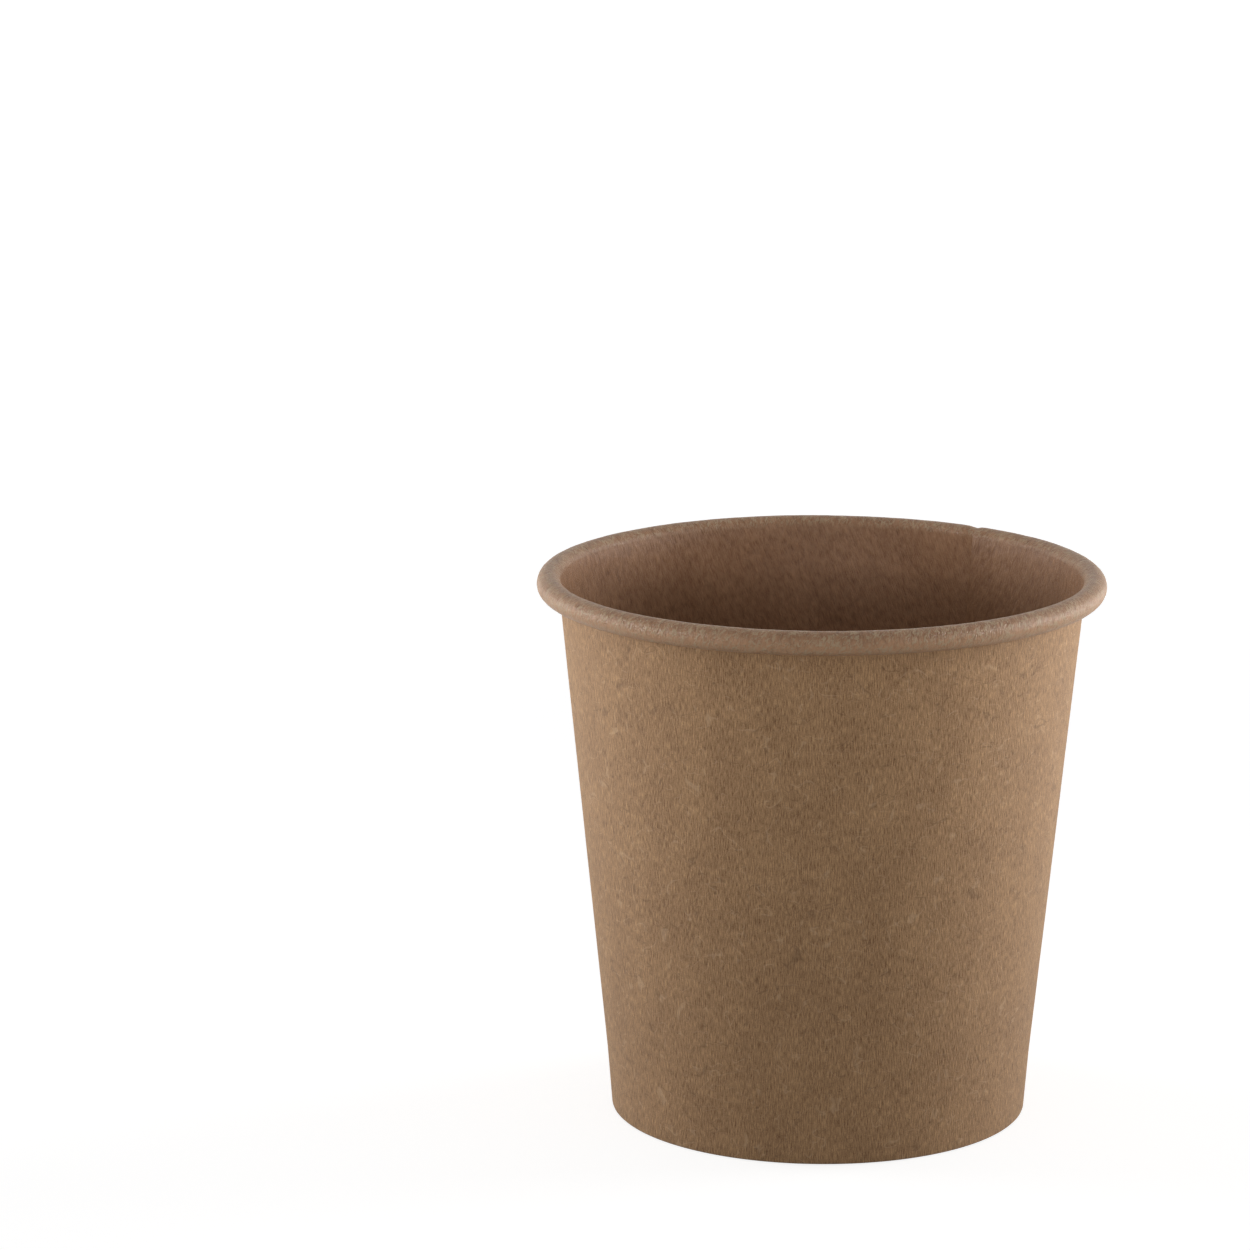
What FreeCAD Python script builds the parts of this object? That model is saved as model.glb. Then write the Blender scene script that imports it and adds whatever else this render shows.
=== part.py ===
# Small single-wall paper coffee cup in brown board, empty and standing on its foot.
# Millimetres, +Z up. The origin is the centre of the foot, on the plane that the cup stands on.
import FreeCAD, Part
from math import asin, atan2, cos, degrees, hypot, radians, sin, tan
import os

# Cup over all
rim_d = 62.0  # across the rolled rim
height = 60.3  # from the standing plane to the top of the rolled rim
foot_d = 45.6  # across the foot
foot_lean = 4.6  # lean of the pressed zone round the foot, degrees from upright

# Board
wall_board = 0.30  # thickness of the side wall's board
base_board = 0.28  # thickness of the base's board
seal_gap = 0.02  # film of coating between two layers that are sealed together

# Rolled rim
bead_d = 2.6  # across the section of the roll
tuck_turn = 180.0  # how far the board's end turns on inside the roll, degrees
tuck_gap = 0.05  # room between the tucked end and two layers of wall

# Foot
recess = 6.0  # the base's underside over the standing plane
hem_gap = 0.8  # the hem's edge stops this far under the base
fold_r = 0.05  # inside radius of the folds at the foot
base_bend_r = 0.5  # inside radius of the bend round the base
heel_rise = 0.3  # the pressed zone ends this far above the base
heel_r = 40.0  # radius of the soft bend between the pressed zone and the wall

# Lap seam, where one end of the wrapped board lies on the other
seam_at = 45.0  # direction of the lap's middle, degrees from +X towards +Y
lap_w = 6.5  # width of the lap at the rim
ramp_w = 1.6  # width of the ramp that lifts the outer end over the inner one

# Worked out from the sizes above
rim_r = rim_d / 2
foot_r = foot_d / 2
bead_r = bead_d / 2
tuck_r = bead_r - 2 * wall_board - tuck_gap
base_top = recess + base_board
heel_z = base_top + heel_rise
skirt_depth = wall_board + seal_gap
hem_depth = wall_board + base_board + 2 * seal_gap
axis = FreeCAD.Vector(0, 0, 1)
origin = FreeCAD.Vector(0, 0, 0)


# A place on a board's path: a point (r, z) and the unit normal that points into the board.
def place(r, z, heading):
    return r, z, sin(heading), -cos(heading)


# A round stretch that starts at a place's point with the given heading and turns left by a signed angle.
def bend(r, z, heading, radius, turn):
    side = 1 if turn > 0 else -1
    cr = r - side * radius * sin(heading)
    cz = z + side * radius * cos(heading)
    stops = []
    for share in (0, 0.5, 1):
        h = heading + share * turn
        stops.append(place(cr + side * radius * sin(h), cz - side * radius * cos(h), h))
    return stops


# Straight runs through the corners, each inner corner rounded by its radius. Two stops are a run, three a bend.
def folded(corners, radii):
    stretches = []
    start = corners[0]
    for corner, after, radius in zip(corners[1:], corners[2:], radii):
        before_h = atan2(corner[1] - start[1], corner[0] - start[0])
        after_h = atan2(after[1] - corner[1], after[0] - corner[0])
        turn = (after_h - before_h + radians(180)) % radians(360) - radians(180)
        back = radius * abs(tan(turn / 2))
        r = corner[0] - back * cos(before_h)
        z = corner[1] - back * sin(before_h)
        stretches.append([place(*start, before_h), place(r, z, before_h)])
        stretches.append(bend(r, z, before_h, radius, turn))
        start = stretches[-1][-1][:2]
    last_h = atan2(corners[-1][1] - start[1], corners[-1][0] - start[0])
    stretches.append([place(*start, last_h), place(*corners[-1], last_h)])
    return stretches


# Where both layers of the lap cross the foot's folds, the press leaves them the room of one layer.
def pressed(depth, z):
    up = min(1, (z - wall_board) / fold_r)
    return depth * (1 + up * up) / 2


# The closed outline of one layer between two depths under the path, plain or as the lap's outer layer.
def section(stretches, near, far, lapped=False):
    def point(stop, depth):
        if lapped:
            depth = pressed(depth, stop[1])
        return FreeCAD.Vector(stop[0] + depth * stop[2], 0, stop[1] + depth * stop[3])

    def side(depth, order):
        edges = []
        for stops in stretches[::order]:
            points = [point(stop, depth) for stop in stops[::order]]
            if len(points) == 2:
                edges.append(Part.makeLine(*points))
            else:
                edges.append(Part.Arc(*points).toShape())
        return edges

    first = stretches[0][0]
    last = stretches[-1][-1]
    far_cap = Part.makeLine(point(last, near), point(last, far))
    near_cap = Part.makeLine(point(first, far), point(first, near))
    return Part.Wire(side(near, 1) + [far_cap] + side(far, -1) + [near_cap])


def revolved(wire, start, sweep):
    solid = Part.Face(wire).revolve(origin, axis, sweep)
    solid.rotate(origin, axis, start)
    return solid


def turned(wire, angle):
    wire.rotate(origin, axis, angle)
    return wire


# The r of a line that runs parallel to the foot's outer face, a depth inside it, at the height z.
def foot_line(depth, z):
    lean = radians(foot_lean)
    return foot_r + z * tan(lean) - depth / cos(lean)


# The wall's drink side, from the hem's edge down round the foot's folds and up to the roll.
def wall_path():
    hem_top = recess - hem_gap
    fold_z = wall_board
    heel = (foot_line(wall_board, heel_z), heel_z)
    roll_c = (rim_r - bead_r, height - bead_r)
    reach = hypot(roll_c[0] - heel[0], roll_c[1] - heel[1])
    lean = atan2(roll_c[0] - heel[0], roll_c[1] - heel[1]) - asin(bead_r / reach)
    roll_start = (roll_c[0] - bead_r * cos(lean), roll_c[1] + bead_r * sin(lean))
    corners = [
        (foot_line(hem_depth, hem_top), hem_top),
        (foot_line(hem_depth, fold_z), fold_z),
        (foot_line(wall_board, fold_z), fold_z),
        heel,
        roll_start,
    ]
    path = folded(corners, [fold_r, fold_r, heel_r])
    # The roll's outer turn goes over the top and ends at its lowest point, headed back to the wall.
    upward = radians(90) - lean
    inward = radians(-180)
    path.append(bend(*roll_start, upward, bead_r, inward - upward))
    return path


# The tucked end goes on from the roll's outer turn with a smaller radius.
def tucked(path):
    r, z, nr, nz = path[-1][-1]
    heading = atan2(nr, -nz)
    return path + [bend(r, z, heading, tuck_r, -radians(tuck_turn))]


# One fan-shaped board, wrapped round, lapped, rolled outwards at the rim and folded inwards at the foot.
def side_wall():
    path = wall_path()
    rim_inside = path[-1][0][0]
    lap = degrees(lap_w / rim_inside)
    ramp = degrees(ramp_w / rim_inside)
    inner_edge = seam_at + lap / 2
    wrap = revolved(section(tucked(path), 0, wall_board), inner_edge + ramp, 360 - ramp)
    low_end = turned(section(path, 0, wall_board), inner_edge + ramp)
    high_end = turned(section(path, wall_board, 2 * wall_board, True), inner_edge)
    lift = Part.makeLoft([low_end, high_end], True, True)
    outer_end = revolved(section(path, wall_board, 2 * wall_board, True), inner_edge - lap, lap)
    return wrap.multiFuse([lift, outer_end])


# One round board with its margin bent down, held between the wall and the hem.
def base_disc():
    skirt_end = wall_board + seal_gap
    corners = [
        (0, base_top),
        (foot_line(skirt_depth, base_top), base_top),
        (foot_line(skirt_depth, skirt_end), skirt_end),
    ]
    path = folded(corners, [base_bend_r + base_board])
    return revolved(section(path, 0, base_board), 0, 360)


os.makedirs("parts", exist_ok=True)
for name, solid in (("side_wall", side_wall()), ("base_disc", base_disc())):
    solid.exportStep(f"parts/{name}.step")
    print(name, len(solid.Solids), "solid", solid.isValid(), round(solid.Volume, 2), "mm3")
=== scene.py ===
import math

import bpy
import numpy as np
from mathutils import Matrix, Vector


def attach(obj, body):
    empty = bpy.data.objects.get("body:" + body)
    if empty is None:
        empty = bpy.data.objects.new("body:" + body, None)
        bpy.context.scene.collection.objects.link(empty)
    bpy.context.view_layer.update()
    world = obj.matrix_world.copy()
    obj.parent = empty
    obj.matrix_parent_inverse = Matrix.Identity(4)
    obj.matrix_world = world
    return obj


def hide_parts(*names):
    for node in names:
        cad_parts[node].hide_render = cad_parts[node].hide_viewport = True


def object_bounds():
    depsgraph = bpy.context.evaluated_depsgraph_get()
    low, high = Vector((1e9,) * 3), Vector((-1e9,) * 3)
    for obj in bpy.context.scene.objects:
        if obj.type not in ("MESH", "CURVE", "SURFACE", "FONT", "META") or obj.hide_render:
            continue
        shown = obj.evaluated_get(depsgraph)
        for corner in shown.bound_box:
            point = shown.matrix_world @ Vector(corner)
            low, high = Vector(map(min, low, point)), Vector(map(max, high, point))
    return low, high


mm = 0.001
fullTurn = 2 * math.pi

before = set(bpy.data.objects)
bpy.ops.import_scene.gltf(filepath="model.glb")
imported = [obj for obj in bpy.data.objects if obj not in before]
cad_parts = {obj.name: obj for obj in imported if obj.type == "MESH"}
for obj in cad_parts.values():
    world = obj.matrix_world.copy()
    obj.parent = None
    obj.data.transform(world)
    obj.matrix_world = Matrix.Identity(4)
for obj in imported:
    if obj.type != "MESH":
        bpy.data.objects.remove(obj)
cadLow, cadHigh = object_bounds()
print("frame:", sorted(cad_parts))


def deselectAll():
    bpy.ops.object.select_all(action="DESELECT")


def editMode():
    bpy.ops.object.mode_set(mode="EDIT")


def objectMode():
    bpy.ops.object.mode_set(mode="OBJECT")


def applyModifier(piece, kind, **settings):
    bpy.context.view_layer.objects.active = piece
    modifier = piece.modifiers.new(kind.title(), kind)
    for name, value in settings.items():
        setattr(modifier, name, value)
    bpy.ops.object.modifier_apply(modifier=modifier.name)


# The pen draws a board's line on the half plane that stands on the cup's axis, turned by an angle.
# It holds its place (r, z), its heading on that plane and the distance drawn so far.
def startPen(name, angle, r, z):
    pen = {"angle": angle, "r": r, "z": z, "heading": 0.0, "run": 0.0}
    deselectAll()
    bpy.ops.mesh.primitive_plane_add(size=mm, location=penPoint(pen))
    pen["piece"] = bpy.context.object
    pen["piece"].name = name
    pen["piece"].data.name = name
    bpy.ops.object.transform_apply(location=True, rotation=False, scale=False)
    editMode()
    bpy.ops.mesh.select_mode(type="VERT")
    bpy.ops.mesh.merge(type="CENTER")
    return pen


def onPlane(pen, r, z):
    return Vector((r * math.cos(pen["angle"]), r * math.sin(pen["angle"]), z))


def penPoint(pen):
    return onPlane(pen, pen["r"], pen["z"])


def drawRun(pen, r, z, rows):
    start = penPoint(pen)
    pen["heading"] = math.atan2(z - pen["z"], r - pen["r"])
    pen["r"], pen["z"] = r, z
    step = {"value": (penPoint(pen) - start) / rows, "orient_type": "GLOBAL"}
    pen["run"] += (penPoint(pen) - start).length
    for _ in range(rows):
        bpy.ops.mesh.extrude_region_move(TRANSFORM_OT_translate=step)


def drawBend(pen, radius, turn, rows):
    side = math.copysign(1, turn)
    centreR = pen["r"] - side * radius * math.sin(pen["heading"])
    centreZ = pen["z"] + side * radius * math.cos(pen["heading"])
    centre = onPlane(pen, centreR, centreZ)
    across = (-math.sin(pen["angle"]), math.cos(pen["angle"]), 0)
    bpy.ops.mesh.spin(steps=rows, angle=turn, center=centre, axis=across)
    pen["heading"] += turn
    pen["run"] += rows * 2 * radius * math.sin(abs(turn) / (2 * rows))
    pen["r"] = centreR + side * radius * math.sin(pen["heading"])
    pen["z"] = centreZ - side * radius * math.cos(pen["heading"])


# A run up to a rounded corner, and the bend that turns towards the next corner.
def drawFold(pen, corner, after, radius, runRows, bendRows):
    before = math.atan2(corner[1] - pen["z"], corner[0] - pen["r"])
    turn = math.atan2(after[1] - corner[1], after[0] - corner[0]) - before
    turn = (turn + math.pi) % fullTurn - math.pi
    back = radius * abs(math.tan(turn / 2))
    r = corner[0] - back * math.cos(before)
    z = corner[1] - back * math.sin(before)
    drawRun(pen, r, z, runRows)
    drawBend(pen, radius, turn, bendRows)


# Keeps each point's distance along the drawn line, so that it goes with the board when it is wrapped.
def measureRun(mesh):
    beside = {vertex.index: [] for vertex in mesh.vertices}
    for edge in mesh.edges:
        a, b = edge.vertices
        beside[a].append(b)
        beside[b].append(a)
    last, here, run = None, 0, 0.0
    runs = mesh.attributes.new("run", "FLOAT", "POINT")
    while here is not None:
        runs.data[here].value = run
        ahead = [other for other in beside[here] if other != last]
        last, here = here, ahead[0] if ahead else None
        if here is not None:
            run += (mesh.vertices[here].co - mesh.vertices[last].co).length


def pointArray(mesh):
    found = np.empty(len(mesh.vertices) * 3)
    mesh.vertices.foreach_get("co", found)
    return found.reshape(-1, 3)


def attributeArray(mesh, name):
    found = np.empty(len(mesh.vertices))
    mesh.attributes[name].data.foreach_get("value", found)
    return found


def setAttribute(mesh, name, values):
    attribute = mesh.attributes.new(name, "FLOAT", "POINT")
    attribute.data.foreach_set("value", values.astype(np.float32))


# Leaves the piece in edit mode with the chosen points selected.
def selectPoints(piece, chosen):
    editMode()
    bpy.ops.mesh.select_all(action="DESELECT")
    objectMode()
    piece.data.vertices.foreach_set("select", chosen)
    editMode()


def selectAll(piece):
    selectPoints(piece, np.ones(len(piece.data.vertices), bool))


def spinRound(columns, angle):
    bpy.ops.mesh.spin(steps=columns, angle=angle, center=(0, 0, 0), axis=(0, 0, 1))


# The flat board's layout in millimetres, from each point's place on it.
def layFlat(mesh, across, along):
    flat = np.stack([across, along], axis=1) / mm
    corner = np.empty(len(mesh.loops), int)
    mesh.loops.foreach_get("vertex_index", corner)
    layout = mesh.uv_layers.new(name="flatBoard")
    layout.uv.foreach_set("vector", flat[corner].astype(np.float32).ravel())


wall = {
    "board": 0.30 * mm,
    "footR": 22.8 * mm,
    "footLean": math.radians(4.6),
    "recess": 6.0 * mm,  # the base's underside over the floor
    "hemTop": 5.2 * mm,
    "foldR": 0.05 * mm,
    "heelZ": 6.58 * mm,  # the pressed zone round the foot ends here
    "heelR": 40.0 * mm,
    "beadD": 2.6 * mm,
    "tuckGap": 0.05 * mm,
    "lapW": 6.5 * mm,
    "rampW": 1.6 * mm,
    "seamAt": math.radians(45),
    "film": 0.008 * mm,  # between the two layers of the lap
    "edgeW": 0.5 * mm,  # width of the pressed margin of a raw edge
    "innerPress": 0.12 * mm,
    "outerPress": 0.03 * mm,
    "rollPress": 0.60,  # share of the board that the roll leaves to the lap's outer layer
    "rollEase": 0.8 * mm,  # length over which the wall passes into the roll
    "paintedUnderLightFrom": 1 / 2,  # share of the roll's outer turn where the painted highlight on its underside starts
    "paintedUnderLightOver": 1 / 3,
    "crinkle": 0.05 * mm,  # unevenness of the rolled rim
    "crinkleSize": 1.3 * mm,
    "sway": 0.10 * mm,  # slow unevenness of the wall
    "swaySize": 22 * mm,
    "swayFrom": 9 * mm,  # below this height the base keeps the wall round
    "swayOver": 14 * mm,
    "columns": 470,
    "rampColumns": 6,
    "lapColumns": 18,
    "hemRows": 5,
    "foldRows": 3,
    "footRows": 1,
    "pressedRows": 5,
    "heelRows": 4,
    "sideRows": 34,
    "rollRows": 18,
    "tuckRows": 9,
}

base = {
    "board": 0.28 * mm,
    "film": 0.02 * mm,
    "bendR": 0.5 * mm,
    "columns": 360,
    "floorRows": 26,
    "bendRows": 6,
    "skirtRows": 5,
}

rimR = cadHigh.y
rimTop = cadHigh.z
baseTop = wall["recess"] + base["board"]


# The r of a line parallel to the foot's outer face, a depth inside it.
def footLine(depth, z):
    lean = wall["footLean"]
    return wall["footR"] + z * math.tan(lean) - depth / math.cos(lean)


# The wall's drink side, from the hem's edge round the foot's folds and up to the roll.
# What comes out of its sizes is kept beside them for the steps that follow.
def drawWallLine():
    board = wall["board"]
    beadR = wall["beadD"] / 2
    hemDepth = board + base["board"] + 2 * base["film"]
    rollR, rollZ = rimR - beadR, rimTop - beadR
    heel = (footLine(board, wall["heelZ"]), wall["heelZ"])
    reach = math.hypot(rollR - heel[0], rollZ - heel[1])
    lean = math.atan2(rollR - heel[0], rollZ - heel[1]) - math.asin(beadR / reach)
    rollStart = (rollR - beadR * math.cos(lean), rollZ + beadR * math.sin(lean))
    wall["lean"] = lean
    wall["mouthR"] = rollStart[0]
    wall["lap"] = wall["lapW"] / rollStart[0]
    wall["ramp"] = wall["rampW"] / rollStart[0]
    wall["innerEnd"] = wall["seamAt"] + wall["lap"] / 2
    wall["grainAt"] = wall["innerEnd"] + math.radians(90)  # how far round the grain is upright
    foldIn = (footLine(hemDepth, board), board)
    foldOut = (footLine(board, board), board)
    hemEdge = footLine(hemDepth, wall["hemTop"])
    pen = startPen("wrappedWall", wall["innerEnd"], hemEdge, wall["hemTop"])
    drawFold(pen, foldIn, foldOut, wall["foldR"], wall["hemRows"], wall["foldRows"])
    drawFold(pen, foldOut, heel, wall["foldR"], wall["footRows"], wall["foldRows"])
    drawFold(pen, heel, rollStart, wall["heelR"], wall["pressedRows"], wall["heelRows"])
    drawRun(pen, *rollStart, wall["sideRows"])
    wall["mouthRun"] = pen["run"]
    drawBend(pen, beadR, -math.pi - pen["heading"], wall["rollRows"])
    wall["tuckRun"] = pen["run"]
    drawBend(pen, beadR - 2 * board - wall["tuckGap"], -math.pi, wall["tuckRows"])
    objectMode()
    return pen["piece"]


# The line is spun round nearly once, then up the ramp, then on over its own start as the lap.
def wrapWall(piece):
    mesh = piece.data
    measureRun(mesh)
    selectAll(piece)
    sweep = fullTurn - wall["ramp"]
    stretches = (("columns", sweep), ("rampColumns", wall["ramp"]), ("lapColumns", wall["lap"]))
    counts = []
    for columns, angle in stretches:
        editMode()
        spinRound(wall[columns], angle)
        objectMode()
        counts.append(len(mesh.vertices))
    editMode()
    bpy.ops.mesh.select_all(action="SELECT")
    bpy.ops.mesh.flip_normals()  # so that the faces look to the drink side
    objectMode()
    wrapped, ramped, _ = counts
    points = pointArray(mesh)
    # How far round each point lies from the inner end. The ramp's end and the lap are past a full turn.
    turn = (wall["innerEnd"] - np.arctan2(points[:, 1], points[:, 0])) % fullTurn
    turn[turn > fullTurn - 1e-5] = 0
    turn[ramped:] += fullTurn
    turn[wrapped:ramped][turn[wrapped:ramped] < 1] += fullTurn
    lift = np.clip((turn - sweep) / wall["ramp"], 0, 1)
    setAttribute(mesh, "turn", turn)
    setAttribute(mesh, "lift", lift * lift * (3 - 2 * lift))
    print("wall wrapped:", len(mesh.vertices), "points")


# Everything past the roll's lowest point is left out where the lap's outer layer would lie in the tuck.
def trimTuck(piece):
    lifted = attributeArray(piece.data, "lift") > 1e-4
    tucked = attributeArray(piece.data, "run") > wall["tuckRun"] + 1e-6
    selectPoints(piece, lifted & tucked)
    bpy.ops.mesh.delete(type="VERT")
    objectMode()


def weighPoints(piece, name, weights):
    group = piece.vertex_groups.new(name=name)
    for index in np.nonzero(weights > 0)[0]:
        group.add([int(index)], float(weights[index]), "REPLACE")


# The fan-shaped blank: the wall's cone rolled out flat.
def layWallFlat(mesh):
    slant = math.sin(wall["lean"])
    reach = wall["mouthR"] / slant + attributeArray(mesh, "run") - wall["mouthRun"]
    fan = (attributeArray(mesh, "turn") - wall["grainAt"]) * slant
    layFlat(mesh, reach * np.sin(fan), reach * np.cos(fan))


# From 0 on the wall to 1 on the roll.
def rolledShare(mesh):
    return np.clip((attributeArray(mesh, "run") - wall["mouthRun"]) / wall["rollEase"], 0, 1)


# The outer end of the board lies on the inner one. The press thins the raw edge of each.
def liftLap(piece):
    mesh = piece.data
    turn = attributeArray(mesh, "turn")
    lift = attributeArray(mesh, "lift")
    up = np.clip((pointArray(mesh)[:, 2] - wall["board"]) / wall["foldR"], 0, 1)
    pressed = (1 + up * up) / 2  # the foot's folds leave two layers the room of one
    pressed *= 1 + rolledShare(mesh) * (wall["rollPress"] - 1)
    step = wall["board"] + wall["film"]
    edgeTurn = wall["edgeW"] / wall["mouthR"]
    inner = np.clip(1 - turn / edgeTurn, 0, 1) * wall["innerPress"]
    outer = np.clip(1 - (turn.max() - turn) / edgeTurn, 0, 1) * wall["outerPress"]
    weighPoints(piece, "lift", lift * pressed + inner / step)
    weighPoints(piece, "boardLeft", 1 - lift * (1 - pressed) - (inner + outer) / wall["board"])
    applyModifier(piece, "DISPLACE", strength=-step, mid_level=0, vertex_group="lift")


def uneven(piece, name, weights, strength, size):
    weighPoints(piece, name, weights)
    texture = bpy.data.textures.new(name, "CLOUDS")
    texture.noise_scale = size
    texture.noise_depth = 2
    applyModifier(piece, "DISPLACE", texture=texture, strength=strength, mid_level=0.5,
                  vertex_group=name, texture_coords="LOCAL")


def unevenWall(piece):
    mesh = piece.data
    free = np.clip((pointArray(mesh)[:, 2] - wall["swayFrom"]) / wall["swayOver"], 0, 1)
    rolled = rolledShare(mesh)
    outerTurn = wall["tuckRun"] - wall["mouthRun"]
    along = (attributeArray(mesh, "run") - wall["mouthRun"]) / outerTurn
    setAttribute(mesh, "rolled", rolled)
    # The roll's underside gets a painted highlight: its colour is made lighter there, standing in for
    # light from below.
    setAttribute(mesh, "paintedUnderLight", np.clip((along - wall["paintedUnderLightFrom"]) / wall["paintedUnderLightOver"], 0, 1))
    uneven(piece, "free", free, wall["sway"], wall["swaySize"])
    uneven(piece, "rolled", rolled, wall["crinkle"], wall["crinkleSize"])


# The drawn side is the first material's, the other side the second's, and the raw edge the third's.
def thickenBoard(piece, board, group=""):
    applyModifier(piece, "SOLIDIFY", thickness=board, offset=-1, use_even_offset=True,
                  use_rim=True, vertex_group=group, material_offset=1, material_offset_rim=2)


def finishPiece(piece, slotName, *nodes):
    deselectAll()
    piece.select_set(True)
    bpy.context.view_layer.objects.active = piece
    bpy.ops.object.shade_smooth_by_angle(angle=math.radians(40))
    piece.vertex_groups.clear()
    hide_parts(*nodes)
    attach(piece, "root")
    print(piece.name, "faces:", len(piece.data.polygons))


def makeWall(materials):
    piece = drawWallLine()
    for material in materials:
        piece.data.materials.append(material)
    wrapWall(piece)
    trimTuck(piece)
    layWallFlat(piece.data)
    liftLap(piece)
    unevenWall(piece)
    thickenBoard(piece, wall["board"], "boardLeft")
    finishPiece(piece, "wall_board", "side_wall")


# The base's drink side, from its middle out to the shoulder and down the skirt.
def makeBase(materials):
    board = base["board"]
    depth = wall["board"] + base["film"]
    shoulder = (footLine(depth, baseTop), baseTop)
    skirtEnd = (footLine(depth, depth), depth)
    pen = startPen("pressedBase", 0.0, 0.0, baseTop)
    drawFold(pen, shoulder, skirtEnd, base["bendR"] + board, base["floorRows"], base["bendRows"])
    drawRun(pen, *skirtEnd, base["skirtRows"])
    objectMode()
    piece = pen["piece"]
    mesh = piece.data
    for material in materials:
        mesh.materials.append(material)
    measureRun(mesh)
    selectAll(piece)
    spinRound(base["columns"], -fullTurn)
    bpy.ops.mesh.select_all(action="SELECT")
    bpy.ops.mesh.remove_doubles(threshold=1e-6)
    objectMode()
    points = pointArray(mesh)
    run = attributeArray(mesh, "run")
    turn = np.arctan2(points[:, 1], points[:, 0])
    layFlat(mesh, run * np.cos(turn), run * np.sin(turn))
    thickenBoard(piece, board)
    finishPiece(piece, "base_board", "base_disc")


def addNode(tree, kind, values=None, **settings):
    node = tree.nodes.new(kind)
    for name, value in settings.items():
        setattr(node, name, value)
    for socket, value in (values or {}).items():
        if isinstance(value, bpy.types.NodeSocket):
            tree.links.new(value, node.inputs[socket])
        else:
            node.inputs[socket].default_value = value
    return node


def sums(tree, operation, a, b=0.0, c=0.0, clamp=False):
    values = {0: a, 1: b, 2: c}
    return addNode(tree, "ShaderNodeMath", values, operation=operation, use_clamp=clamp).outputs[0]


def ranged(tree, value, low, high, toLow=0.0, toHigh=1.0, smooth=False):
    kind = "SMOOTHSTEP" if smooth else "LINEAR"
    values = {"Value": value, "From Min": low, "From Max": high, "To Min": toLow, "To Max": toHigh}
    node = addNode(tree, "ShaderNodeMapRange", values, interpolation_type=kind)
    return node.outputs["Result"]


def mixed(tree, factor, a, b):
    node = addNode(tree, "ShaderNodeMix", {0: factor, 6: a, 7: b}, data_type="RGBA")
    return node.outputs[2]


# Lays a second colour over the first where the mask is, as strongly as the share says.
def laid(tree, mask, share, colour, over):
    return mixed(tree, sums(tree, "MULTIPLY", mask, share), colour, over)


# A stretched noise, its width and length in millimetres. The shift keeps it unlike the others.
def noise(tree, place, width, length, detail, roughness, distortion=0.0, shift=0.0, turned=0.0):
    mapping = {"Vector": place, "Location": (shift, shift * 0.7, 0), "Rotation": (0, 0, turned)}
    put = addNode(tree, "ShaderNodeMapping", mapping, vector_type="POINT")
    scaled = {"Vector": put.outputs[0], "Scale": (1 / width, 1 / length, 1)}
    stretch = addNode(tree, "ShaderNodeMapping", scaled, vector_type="POINT")
    values = {"Vector": stretch.outputs[0], "Scale": 1.0, "Detail": detail,
              "Roughness": roughness, "Distortion": distortion}
    return addNode(tree, "ShaderNodeTexNoise", values, noise_dimensions="2D").outputs["Fac"]


def startGroup(name, inputs, outputs):
    group = bpy.data.node_groups.new(name, "ShaderNodeTree")
    group.interface.new_socket(name="Place", in_out="INPUT", socket_type="NodeSocketVector")
    for socket, value in inputs.items():
        made = group.interface.new_socket(name=socket, in_out="INPUT", socket_type="NodeSocketFloat")
        made.default_value = value
    for socket in outputs:
        group.interface.new_socket(name=socket, in_out="OUTPUT", socket_type="NodeSocketFloat")
    given = group.nodes.new("NodeGroupInput").outputs
    put = group.nodes.new("NodeGroupOutput").inputs
    return group, given["Place"], given, put


def placeGroup(tree, group, values):
    return addNode(tree, "ShaderNodeGroup", values, node_tree=group).outputs


# Each noise gives its width, length, detail and roughness.
paperGrain = {
    "hair": (0.105, 0.95, 2.0, 0.6),
    "fine": (0.10, 0.16, 1.0, 0.5),
    "flock": (0.55, 1.1, 2.0, 0.5),
    "cloud": (4.0, 7.5, 3.0, 0.55),
    "fineShare": 0.34,  # of the fine grain beside the hair
    "flockRelief": 0.8,
}


# Short upright fibres, softer flocks and slow clouds. The tone's middle is 1, the height's 0.
def makeGrainGroup():
    inputs = {"Fine": 0.5, "Flock": 0.3, "Cloud": 0.2}
    group, place, given, put = startGroup("paperGrain", inputs, ("Tone", "Height"))
    share = paperGrain["fineShare"]
    hair = noise(group, place, *paperGrain["hair"])
    fine = noise(group, place, *paperGrain["fine"], shift=31.0)
    flock = noise(group, place, *paperGrain["flock"], shift=57.0)
    cloud = noise(group, place, *paperGrain["cloud"], shift=83.0)
    hair = sums(group, "SUBTRACT", sums(group, "MULTIPLY_ADD", fine, share, hair), (1 + share) / 2)
    flock = sums(group, "SUBTRACT", flock, 0.5)
    cloud = sums(group, "SUBTRACT", cloud, 0.5)
    tone = sums(group, "MULTIPLY_ADD", hair, given["Fine"], 1.0)
    tone = sums(group, "MULTIPLY_ADD", flock, given["Flock"], tone)
    tone = sums(group, "MULTIPLY_ADD", cloud, given["Cloud"], tone)
    height = sums(group, "MULTIPLY_ADD", flock, paperGrain["flockRelief"], hair)
    group.links.new(tone, put["Tone"])
    group.links.new(height, put["Height"])
    return group


looseFibres = {
    "course": (2.6, 3.6, 1.0, 0.4, 0.6),  # width, length, detail, roughness and distortion
    "spread": (1.7, 2.1, 0.0, 0.5, 0.0),
    "sets": ((0.3, 11.0), (1.5, 47.0), (2.6, 91.0)),  # each set's turn and shift
    "spreadShift": 5.0,
    "fade": 14.0,  # how sharply a fibre ends
}


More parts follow.
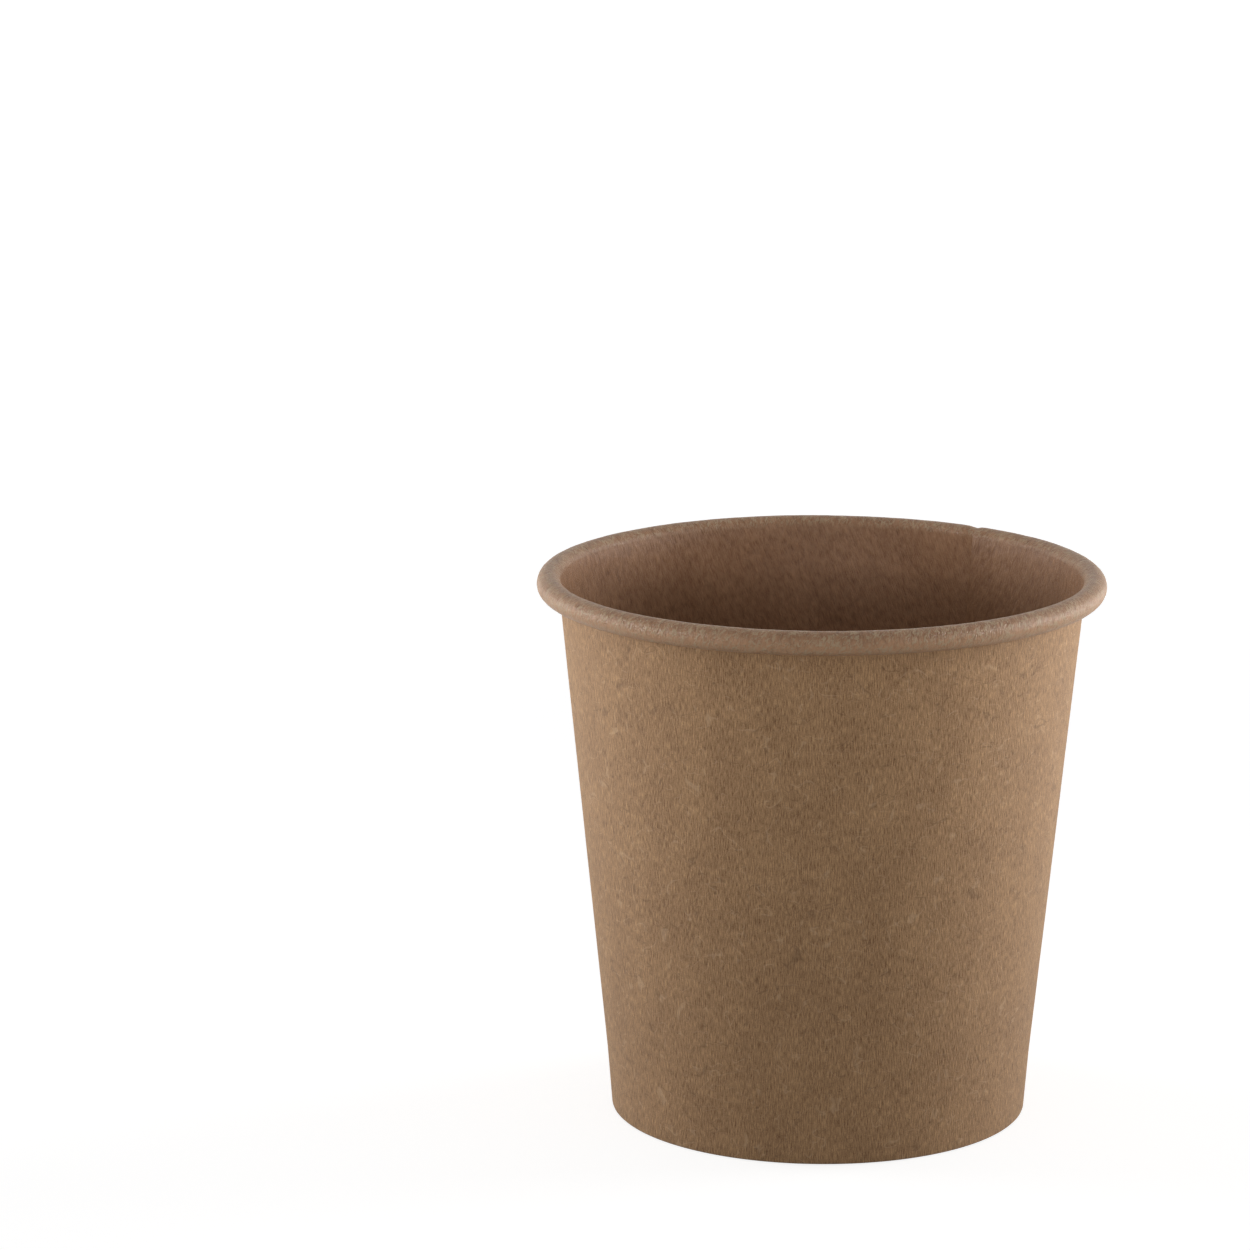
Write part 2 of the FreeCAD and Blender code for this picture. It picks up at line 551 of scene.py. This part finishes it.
# Hair-like fibres: thin level lines of a smooth noise, kept only where a second noise is high.
def makeFibreGroup():
    inputs = {"Width": 0.012, "Rarity": 0.62}
    group, place, given, put = startGroup("looseFibres", inputs, ("Mask",))
    mask = None
    for turned, shift in looseFibres["sets"]:
        course = noise(group, place, *looseFibres["course"], shift, turned)
        away = sums(group, "ABSOLUTE", sums(group, "SUBTRACT", course, 0.5))
        away = sums(group, "DIVIDE", away, given["Width"], clamp=True)
        line = sums(group, "SUBTRACT", 1.0, away)
        spread = noise(group, place, *looseFibres["spread"], shift + looseFibres["spreadShift"], turned)
        kept = sums(group, "SUBTRACT", spread, given["Rarity"])
        kept = sums(group, "MULTIPLY", kept, looseFibres["fade"], clamp=True)
        one = sums(group, "MULTIPLY", line, kept)
        mask = one if mask is None else sums(group, "MAXIMUM", mask, one)
    group.links.new(mask, put["Mask"])
    return group


speckNet = {
    "cellsPerMm": 0.42,
    "leastSize": 0.4,  # a speck's radius is its group's Size times this and a random share
    "core": 0.5,  # share of a speck's radius that is fully dark
}


# Small specks, one in some of the cells of a coarse net.
def makeSpeckGroup():
    inputs = {"Size": 0.06, "Share": 0.5}
    group, place, given, put = startGroup("specks", inputs, ("Mask",))
    net = {"Vector": place, "Scale": speckNet["cellsPerMm"]}
    cells = addNode(group, "ShaderNodeTexVoronoi", net, voronoi_dimensions="2D").outputs
    random = addNode(group, "ShaderNodeSeparateColor", {0: cells["Color"]}).outputs
    chosen = sums(group, "LESS_THAN", random[0], given["Share"])
    size = sums(group, "ADD", random[1], speckNet["leastSize"])
    radius = sums(group, "MULTIPLY", given["Size"], size)
    away = sums(group, "DIVIDE", cells["Distance"], radius)
    spot = ranged(group, away, 1.0, speckNet["core"], smooth=True)
    group.links.new(sums(group, "MULTIPLY", spot, chosen), put["Mask"])
    return group


groups = {"grain": makeGrainGroup(), "fibres": makeFibreGroup(), "specks": makeSpeckGroup()}


def startMaterial(name):
    material = bpy.data.materials.new(name)
    material.use_nodes = True
    tree = material.node_tree
    tree.nodes.clear()
    shader = tree.nodes.new("ShaderNodeBsdfPrincipled")
    output = tree.nodes.new("ShaderNodeOutputMaterial")
    tree.links.new(shader.outputs[0], output.inputs[0])
    return material, tree, shader


# The place on the flat board, in millimetres, and the grain there.
def boardGrain(tree, look):
    place = addNode(tree, "ShaderNodeUVMap", uv_map="flatBoard").outputs[0]
    values = {"Place": place, "Fine": look["fine"], "Flock": look["flock"], "Cloud": look["cloud"]}
    return place, placeGroup(tree, groups["grain"], values)


def fibreMask(tree, place, rarity):
    return placeGroup(tree, groups["fibres"], {"Place": place, "Rarity": rarity})["Mask"]


def bumped(tree, shader, height, strength, relief):
    values = {"Height": height, "Strength": strength, "Distance": relief}
    bump = addNode(tree, "ShaderNodeBump", values)
    tree.links.new(bump.outputs[0], shader.inputs["Normal"])


bareLook = {
    "darkColour": (0.182, 0.089, 0.036, 1),
    "lightColour": (0.608, 0.371, 0.193, 1),
    "fine": 1.64,
    "flock": 0.28,
    "cloud": 0.34,
    "fibreColour": (0.150, 0.080, 0.040, 1),
    "fibreRarity": 0.57,
    "fibreShare": 0.48,
    "paleFibreColour": (0.700, 0.480, 0.300, 1),
    "paleFibreRarity": 0.55,
    "paleFibreShare": 0.36,
    "paleFibreShift": (37.0, 19.0, 0),
    "speckColour": (0.130, 0.075, 0.042, 1),
    "speckCells": 0.22,  # share of the net's cells that hold a speck
    "speckShare": 0.50,
    "toneLow": 0.85,  # tones between which the roughness passes from its least to its most
    "toneHigh": 1.15,
    "roughLeast": 0.74,
    "roughMost": 0.86,
    "gloss": 0.35,
    "sheen": 0.10,
    "sheenRough": 0.5,
    "relief": 0.05 * mm,
}


def makeBareBoard():
    material, tree, shader = startMaterial("bareBoard")
    look = bareLook
    place, grain = boardGrain(tree, look)
    tone = sums(tree, "SUBTRACT", grain["Tone"], 0.5)
    colour = mixed(tree, tone, look["darkColour"], look["lightColour"])
    fibres = fibreMask(tree, place, look["fibreRarity"])
    colour = laid(tree, fibres, look["fibreShare"], colour, look["fibreColour"])
    shifted = {"Vector": place, "Location": look["paleFibreShift"]}
    beside = addNode(tree, "ShaderNodeMapping", shifted).outputs[0]
    paleFibres = fibreMask(tree, beside, look["paleFibreRarity"])
    colour = laid(tree, paleFibres, look["paleFibreShare"], colour, look["paleFibreColour"])
    specks = placeGroup(tree, groups["specks"], {"Place": place, "Share": look["speckCells"]})
    colour = laid(tree, specks["Mask"], look["speckShare"], colour, look["speckColour"])
    rough = ranged(tree, grain["Tone"], look["toneLow"], look["toneHigh"],
                   look["roughLeast"], look["roughMost"])
    tree.links.new(colour, shader.inputs["Base Color"])
    tree.links.new(rough, shader.inputs["Roughness"])
    shader.inputs["Specular IOR Level"].default_value = look["gloss"]
    shader.inputs["Sheen Weight"].default_value = look["sheen"]
    shader.inputs["Sheen Roughness"].default_value = look["sheenRough"]
    bumped(tree, shader, grain["Height"], 1.0, look["relief"])
    return material


coatedLook = {
    "darkColour": (0.140, 0.061, 0.027, 1),
    "lightColour": (0.450, 0.252, 0.140, 1),
    "fine": 0.75,
    "flock": 0.65,
    "cloud": 0.35,
    "toneMiddle": 0.54,  # a higher one is darker
    "rolledTone": 0.02,
    # how much lighter the roll's underside is painted: a painted highlight for light from below
    "paintedUnderLightTone": 0.80,
    "fibreColour": (0.150, 0.080, 0.042, 1),
    "fibreRarity": 0.62,
    "fibreShare": 0.35,
    "ridge": (0.27, 0.56, 2.0, 0.5, 0.9, 13.0, 0.5),  # as noise takes them
    "patch": (1.1, 1.4, 2.0, 0.5, 0.0, 29.0),
    "ridgeShare": 0.75,
    "patchShare": 0.25,
    "paleColour": (0.440, 0.335, 0.215, 1),
    "paleFrom": 0.47,
    "paleTo": 0.62,
    "paleLeast": 0.05,
    "paleShare": 0.66,
    "ridgeLow": 0.3,  # ridges between which the roughness passes from its least to its most
    "ridgeHigh": 0.7,
    "roughLeast": 0.32,
    "roughMost": 0.50,
    "ridgeRelief": 2.0,
    "gloss": 0.22,
    "relief": 0.06 * mm,
}


def makeCoatedBoard():
    material, tree, shader = startMaterial("coatedBoard")
    look = coatedLook
    place, grain = boardGrain(tree, look)
    rolled = addNode(tree, "ShaderNodeAttribute", attribute_name="rolled").outputs["Fac"]
    paintedUnderLight = addNode(tree, "ShaderNodeAttribute", attribute_name="paintedUnderLight").outputs["Fac"]
    tone = sums(tree, "SUBTRACT", grain["Tone"], look["toneMiddle"])
    tone = sums(tree, "MULTIPLY_ADD", rolled, look["rolledTone"], tone)
    # Painted highlight: the roll's underside is coloured lighter, standing in for light from below.
    tone = sums(tree, "MULTIPLY_ADD", paintedUnderLight, look["paintedUnderLightTone"], tone)
    colour = mixed(tree, tone, look["darkColour"], look["lightColour"])
    fibres = fibreMask(tree, place, look["fibreRarity"])
    colour = laid(tree, fibres, look["fibreShare"], colour, look["fibreColour"])
    # Where the board is rolled its coating is stretched and shows pale, mottled and a little ridged.
    ridge = noise(tree, place, *look["ridge"])
    patch = sums(tree, "MULTIPLY", noise(tree, place, *look["patch"]), look["patchShare"])
    pale = sums(tree, "ADD", sums(tree, "MULTIPLY", ridge, look["ridgeShare"]), patch)
    pale = ranged(tree, pale, look["paleFrom"], look["paleTo"], look["paleLeast"], smooth=True)
    pale = sums(tree, "MULTIPLY", pale, rolled)
    colour = laid(tree, pale, look["paleShare"], colour, look["paleColour"])
    rough = ranged(tree, ridge, look["ridgeLow"], look["ridgeHigh"],
                   look["roughLeast"], look["roughMost"])
    ridge = sums(tree, "MULTIPLY", ridge, rolled)
    height = sums(tree, "MULTIPLY_ADD", ridge, look["ridgeRelief"], grain["Height"])
    tree.links.new(colour, shader.inputs["Base Color"])
    tree.links.new(rough, shader.inputs["Roughness"])
    shader.inputs["Specular IOR Level"].default_value = look["gloss"]
    bumped(tree, shader, height, 1.0, look["relief"])
    return material


cutLook = {
    "darkColour": (0.3655, 0.255, 0.1615, 1),
    "lightColour": (0.4945, 0.345, 0.2185, 1),
    "layersPerMetre": 9000,
    "layerLow": 0.3,
    "layerHigh": 0.7,
    "rough": 0.9,
    "strength": 0.4,
    "relief": 0.03 * mm,
}


def makeCutEdge():
    material, tree, shader = startMaterial("cutEdge")
    look = cutLook
    at = addNode(tree, "ShaderNodeTexCoord").outputs["Object"]
    values = {"Vector": at, "Scale": look["layersPerMetre"], "Detail": 2.0}
    layers = addNode(tree, "ShaderNodeTexNoise", values).outputs["Fac"]
    tone = ranged(tree, layers, look["layerLow"], look["layerHigh"])
    colour = mixed(tree, tone, look["darkColour"], look["lightColour"])
    tree.links.new(colour, shader.inputs["Base Color"])
    shader.inputs["Roughness"].default_value = look["rough"]
    bumped(tree, shader, layers, look["strength"], look["relief"])
    return material


boards = [makeCoatedBoard(), makeBareBoard(), makeCutEdge()]
print("boards' materials made:", [board.name for board in boards])
makeWall(boards)
makeBase(boards)


stage = {
    "floorSize": 6.0,
    "drop": 0.03 * mm,  # the floor lies this little under the foot
    "colour": (0.40, 0.40, 0.40, 1),
    "lift": 0.80,  # what the camera sees more of the floor, so that it is white round the cup's shadow
    "farLift": 1.0,
    "farFrom": 0.10,  # the shadow's reach, and where the lift is full
    "farTo": 0.60,
    "worldLevel": 0.385,
    "leftLevel": 0.156,
    "rightLevel": 0.194,
    "sideTurn": math.radians(108),
    "sideDistance": 0.30,
    "sideHeight": 0.099,
    "sideSize": (0.22, 0.15),
    "sideSpread": math.radians(60),  # narrow, so that little of the light falls on the floor
    "frontLevel": 0.032,
    "frontPlace": (0, -0.80, 0.19),
    "frontSize": (0.50, 0.12),
    "frontSpread": math.radians(30),
}


def seenDirectly(tree):
    path = addNode(tree, "ShaderNodeLightPath").outputs
    seen = sums(tree, "MAXIMUM", path["Is Camera Ray"], path["Is Glossy Ray"])
    return sums(tree, "MAXIMUM", seen, path["Is Transmission Ray"])


def makeFloor():
    deselectAll()
    bpy.ops.mesh.primitive_plane_add(size=stage["floorSize"], location=(0, 0, -stage["drop"]))
    floor = bpy.context.object
    floor.name = "floor"
    material = bpy.data.materials.new("paleFloor")
    material.use_nodes = True
    tree = material.node_tree
    tree.nodes.clear()
    matt = addNode(tree, "ShaderNodeBsdfDiffuse", {"Color": stage["colour"]})
    at = addNode(tree, "ShaderNodeTexCoord").outputs["Object"]
    away = addNode(tree, "ShaderNodeVectorMath", {0: at}, operation="LENGTH").outputs["Value"]
    lift = ranged(tree, away, stage["farFrom"], stage["farTo"], stage["lift"], stage["farLift"])
    strength = sums(tree, "MULTIPLY", seenDirectly(tree), lift)
    glow = addNode(tree, "ShaderNodeEmission", {"Strength": strength})
    both = addNode(tree, "ShaderNodeAddShader", {0: matt.outputs[0], 1: glow.outputs[0]})
    output = tree.nodes.new("ShaderNodeOutputMaterial")
    tree.links.new(both.outputs[0], output.inputs[0])
    floor.data.materials.append(material)


def makeWorld():
    world = bpy.data.worlds.new("studio")
    bpy.context.scene.world = world
    world.use_nodes = True
    tree = world.node_tree
    tree.nodes.clear()
    level = ranged(tree, seenDirectly(tree), 0, 1, stage["worldLevel"], 1.0)
    back = addNode(tree, "ShaderNodeBackground", {"Color": (1, 1, 1, 1), "Strength": level})
    output = tree.nodes.new("ShaderNodeOutputWorld")
    tree.links.new(back.outputs[0], output.inputs[0])


# An upright softbox that faces the cup's axis. Its power grows with its distance, so its level holds.
def addSoftbox(name, place, size, spread, level):
    towards = Vector((-place.x, -place.y, 0))
    facing = towards.to_track_quat("-Z", "Y").to_euler()
    bpy.ops.object.light_add(type="AREA", location=place, rotation=facing)
    lamp = bpy.context.object
    lamp.name = name
    lamp.data.shape = "RECTANGLE"
    lamp.data.size, lamp.data.size_y = size
    lamp.data.spread = spread
    lamp.data.energy = level * math.pi ** 2 * towards.length ** 2


def lightStage():
    turn = stage["sideTurn"]
    for name, side, level in (("softboxLeft", -1, "leftLevel"), ("softboxRight", 1, "rightLevel")):
        place = Vector((side * math.sin(turn), -math.cos(turn), 0)) * stage["sideDistance"]
        place.z = stage["sideHeight"]
        addSoftbox(name, place, stage["sideSize"], stage["sideSpread"], stage[level])
    front = Vector(stage["frontPlace"])
    addSoftbox("softboxFront", front, stage["frontSize"], stage["frontSpread"], stage["frontLevel"])


shot = {
    "place": (-0.021404, -0.604101, 0.191552),
    "pitch": math.radians(12.808),
    "lens": 163.57,
    "sensor": 36,
    "clip": 0.01,
}


def placeCamera():
    facing = (math.pi / 2 - shot["pitch"], 0, 0)
    bpy.ops.object.camera_add(location=shot["place"], rotation=facing)
    camera = bpy.context.object
    camera.data.sensor_width = shot["sensor"]
    camera.data.lens = shot["lens"]
    camera.data.clip_start = shot["clip"]
    bpy.context.scene.camera = camera


makeFloor()
makeWorld()
lightStage()
placeCamera()
bpy.context.scene.view_settings.view_transform = "Standard"
print("stage, lights and camera made")
